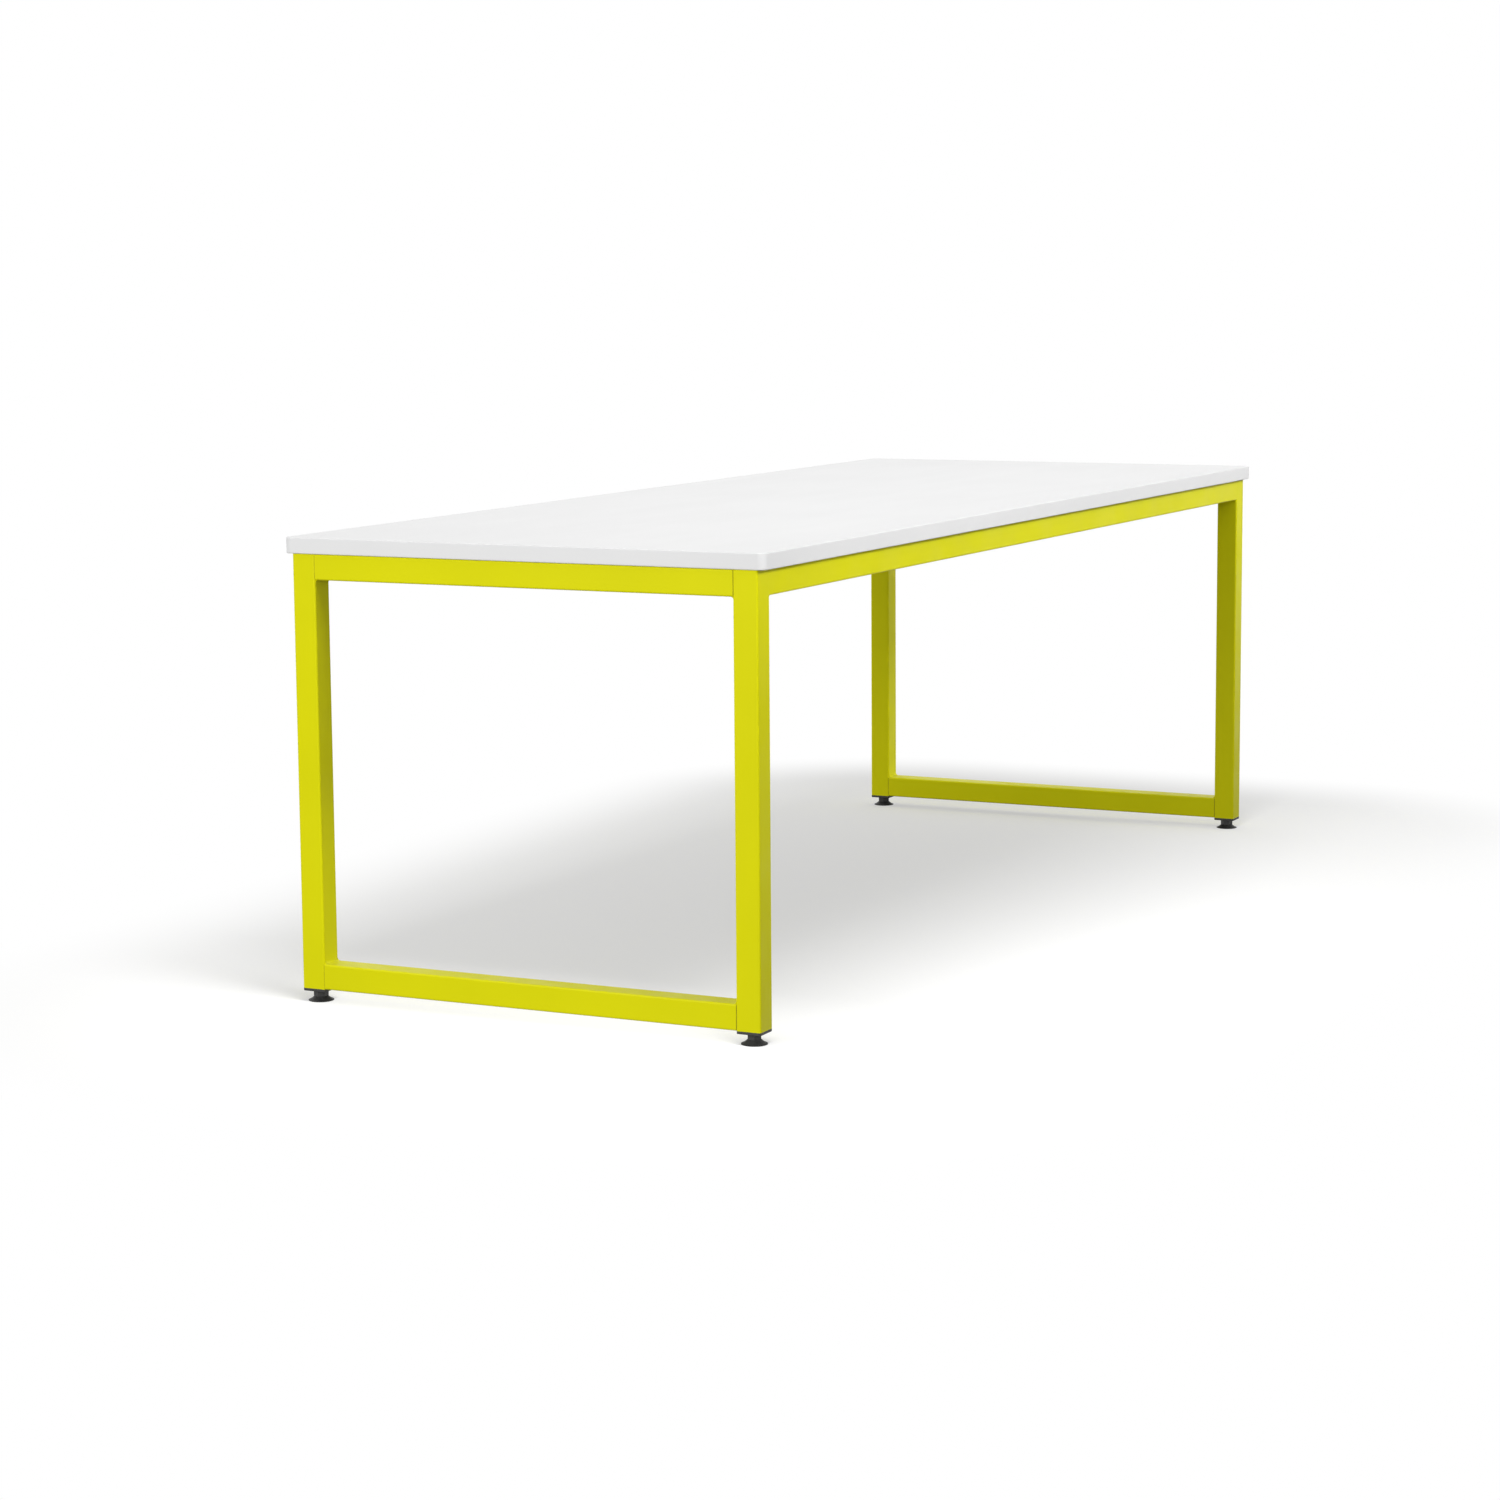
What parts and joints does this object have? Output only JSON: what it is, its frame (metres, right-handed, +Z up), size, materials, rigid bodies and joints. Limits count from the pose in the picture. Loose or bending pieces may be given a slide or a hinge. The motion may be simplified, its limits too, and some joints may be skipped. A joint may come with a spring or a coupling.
{
  "type": "dining table",
  "caption": "Long dining table: a white edged board on a welded lime-yellow frame of square tube, with floor rails at the ends and black levelling feet that screw in and out.",
  "frame": {"origin": "on the floor, under the middle of the top", "axes": "+X along the table, +Y across it, +Z up; the pictured long side faces -Y and the nearest short end faces -X"},
  "size_m": [2.2, 0.82, 0.725],
  "materials": {
    "white_board": "white melamine facing, satin",
    "white_edging": "white ABS edging, satin",
    "lime_frame": "lime-yellow powder coat, fine texture, semi-gloss",
    "black_plastic": "moulded black nylon",
    "zinc_steel": "bright zinc plating"
  },
  "bodies": {
    "table": {"top_board": "white_board", "top_edge_band": "white_edging", "top_brackets": "lime_frame", "top_screws": "zinc_steel", "end_frame_welds_left": "lime_frame", "end_frame_welds_right": "lime_frame", "long_rail_welds": "lime_frame", "end_top_rail_left": "lime_frame", "end_bottom_rail_left": "lime_frame", "end_top_rail_right": "lime_frame", "end_bottom_rail_right": "lime_frame", "long_rail_front": "lime_frame", "long_rail_back": "lime_frame", "upright_front_left": "lime_frame", "foot_cap_front_left": "black_plastic", "foot_nut_front_left": "zinc_steel", "upright_front_right": "lime_frame", "foot_cap_front_right": "black_plastic", "foot_nut_front_right": "zinc_steel", "upright_back_left": "lime_frame", "foot_cap_back_left": "black_plastic", "foot_nut_back_left": "zinc_steel", "upright_back_right": "lime_frame", "foot_cap_back_right": "black_plastic", "foot_nut_back_right": "zinc_steel"},
    "pad_front_left": {"foot_pad_front_left": "black_plastic"},
    "screw_front_left": {"foot_stud_front_left": "zinc_steel", "foot_hub_front_left": "black_plastic"},
    "pad_front_right": {"foot_pad_front_right": "black_plastic"},
    "screw_front_right": {"foot_stud_front_right": "zinc_steel", "foot_hub_front_right": "black_plastic"},
    "pad_back_left": {"foot_pad_back_left": "black_plastic"},
    "screw_back_left": {"foot_stud_back_left": "zinc_steel", "foot_hub_back_left": "black_plastic"},
    "pad_back_right": {"foot_pad_back_right": "black_plastic"},
    "screw_back_right": {"foot_stud_back_right": "zinc_steel", "foot_hub_back_right": "black_plastic"}
  },
  "joints": [
    {"name": "foot_height_front_left", "type": "slide", "parent": "table", "child": "pad_front_left", "axis": [0, 0, -1], "range_m": [0, 0.015]},
    {"name": "foot_turn_front_left", "type": "hinge", "parent": "pad_front_left", "child": "screw_front_left", "pos_m": [-1.076, -0.377, 0.01], "axis": [0, 0, -1], "range_deg": [0, 3600]},
    {"name": "foot_height_front_right", "type": "slide", "parent": "table", "child": "pad_front_right", "axis": [0, 0, -1], "range_m": [0, 0.015]},
    {"name": "foot_turn_front_right", "type": "hinge", "parent": "pad_front_right", "child": "screw_front_right", "pos_m": [1.076, -0.377, 0.01], "axis": [0, 0, -1], "range_deg": [0, 3600]},
    {"name": "foot_height_back_left", "type": "slide", "parent": "table", "child": "pad_back_left", "axis": [0, 0, -1], "range_m": [0, 0.015]},
    {"name": "foot_turn_back_left", "type": "hinge", "parent": "pad_back_left", "child": "screw_back_left", "pos_m": [-1.076, 0.377, 0.01], "axis": [0, 0, -1], "range_deg": [0, 3600]},
    {"name": "foot_height_back_right", "type": "slide", "parent": "table", "child": "pad_back_right", "axis": [0, 0, -1], "range_m": [0, 0.015]},
    {"name": "foot_turn_back_right", "type": "hinge", "parent": "pad_back_right", "child": "screw_back_right", "pos_m": [1.076, 0.377, 0.01], "axis": [0, 0, -1], "range_deg": [0, 3600]}
  ],
  "couplings": [
    {"joint": "foot_turn_front_left", "follows": "foot_height_front_left", "rad_per_m": 4188.8},
    {"joint": "foot_turn_front_right", "follows": "foot_height_front_right", "rad_per_m": 4188.8},
    {"joint": "foot_turn_back_left", "follows": "foot_height_back_left", "rad_per_m": 4188.8},
    {"joint": "foot_turn_back_right", "follows": "foot_height_back_right", "rad_per_m": 4188.8}
  ]
}
